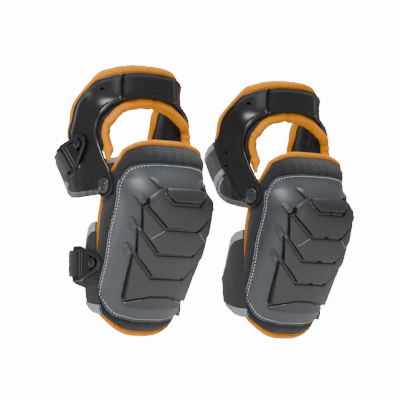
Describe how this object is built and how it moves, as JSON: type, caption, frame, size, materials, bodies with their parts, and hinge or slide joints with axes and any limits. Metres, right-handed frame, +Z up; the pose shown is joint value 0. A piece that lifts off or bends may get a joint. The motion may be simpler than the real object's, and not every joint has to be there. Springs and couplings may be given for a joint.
{
  "type": "knee pads",
  "caption": "Hinged knee pads: padded orange-edged shells with a ribbed cap, pivoting thigh cuffs and clip straps round thigh and calf.",
  "frame": {"origin": "halfway between the two pads, on the line through all four cuff hinge rivets", "axes": "+Z up as worn, the pads face -Y, +X from the pad named left to the one named right, as seen from the front"},
  "size_m": [0.433, 0.195, 0.3461],
  "materials": {
    "ballistic_fabric": "coarse black ballistic weave",
    "liner_fabric": "black brushed lining over foam",
    "mesh_lining": "black spacer mesh over foam",
    "orange_tape": "orange woven edge binding, stitched",
    "grey_shell": "satin grey moulded sheet",
    "cap_rubber": "matt charcoal moulded rubber",
    "black_plastic": "satin black moulded nylon",
    "rivet": "dark grey coated rivet head",
    "gel": "soft translucent gel",
    "elastic": "black woven elastic webbing"
  },
  "bodies": {
    "left_pad": {"left_pad_cover": "ballistic_fabric", "left_pad_binding": "orange_tape", "left_foam_liner": "liner_fabric", "left_gel_insert": "gel", "left_flange_plate": "grey_shell", "left_knee_cap": "cap_rubber", "left_outer_hinge_rivet": "rivet", "left_inner_hinge_rivet": "rivet", "left_outer_hinge_washer": "black_plastic", "left_inner_hinge_washer": "black_plastic", "left_outer_hinge_anchor": "black_plastic", "left_inner_hinge_anchor": "black_plastic", "left_outer_calf_wing": "ballistic_fabric", "left_inner_calf_wing": "ballistic_fabric", "left_calf_strap": "elastic", "left_calf_stud": "black_plastic"},
    "left_cuff": {"left_cuff_frame": "black_plastic", "left_cuff_cushion": "mesh_lining", "left_cuff_top_binding": "orange_tape", "left_cuff_opening_binding": "orange_tape", "left_thigh_wing": "ballistic_fabric", "left_thigh_strap": "elastic", "left_thigh_stud": "black_plastic"},
    "left_thigh_clip_body": {"left_thigh_clip": "black_plastic"},
    "left_calf_clip_body": {"left_calf_clip": "black_plastic"},
    "right_pad": {"right_pad_cover": "ballistic_fabric", "right_pad_binding": "orange_tape", "right_foam_liner": "liner_fabric", "right_gel_insert": "gel", "right_flange_plate": "grey_shell", "right_knee_cap": "cap_rubber", "right_outer_hinge_rivet": "rivet", "right_inner_hinge_rivet": "rivet", "right_outer_hinge_washer": "black_plastic", "right_inner_hinge_washer": "black_plastic", "right_outer_hinge_anchor": "black_plastic", "right_inner_hinge_anchor": "black_plastic", "right_outer_calf_wing": "ballistic_fabric", "right_inner_calf_wing": "ballistic_fabric", "right_calf_strap": "elastic", "right_calf_stud": "black_plastic"},
    "right_cuff": {"right_cuff_frame": "black_plastic", "right_cuff_cushion": "mesh_lining", "right_cuff_top_binding": "orange_tape", "right_cuff_opening_binding": "orange_tape", "right_thigh_wing": "ballistic_fabric", "right_thigh_strap": "elastic", "right_thigh_stud": "black_plastic"},
    "right_thigh_clip_body": {"right_thigh_clip": "black_plastic"},
    "right_calf_clip_body": {"right_calf_clip": "black_plastic"}
  },
  "joints": [
    {"name": "pads_apart", "type": "slide", "parent": "left_pad", "child": "right_pad", "axis": [1, 0, 0], "range_m": [-0.05, 0.1]},
    {"name": "left_cuff_hinge", "type": "hinge", "parent": "left_pad", "child": "left_cuff", "pos_m": [-0.1285, 0, 0], "axis": [1, 0, 0], "range_deg": [-35, 12]},
    {"name": "left_thigh_clip_hinge", "type": "hinge", "parent": "left_cuff", "child": "left_thigh_clip_body", "pos_m": [-0.2109, 0.074, 0.032], "axis": [0, 0.6428, 0.766], "range_deg": [-75, 0]},
    {"name": "left_calf_clip_hinge", "type": "hinge", "parent": "left_pad", "child": "left_calf_clip_body", "pos_m": [-0.2065, 0.058, -0.096], "axis": [0, 0, 1], "range_deg": [-75, 0]},
    {"name": "right_cuff_hinge", "type": "hinge", "parent": "right_pad", "child": "right_cuff", "pos_m": [0.1285, 0, 0], "axis": [1, 0, 0], "range_deg": [-35, 12]},
    {"name": "right_thigh_clip_hinge", "type": "hinge", "parent": "right_cuff", "child": "right_thigh_clip_body", "pos_m": [0.2109, 0.074, 0.032], "axis": [0, 0.6428, 0.766], "range_deg": [0, 75]},
    {"name": "right_calf_clip_hinge", "type": "hinge", "parent": "right_pad", "child": "right_calf_clip_body", "pos_m": [0.2065, 0.058, -0.096], "axis": [0, 0, 1], "range_deg": [0, 75]}
  ]
}
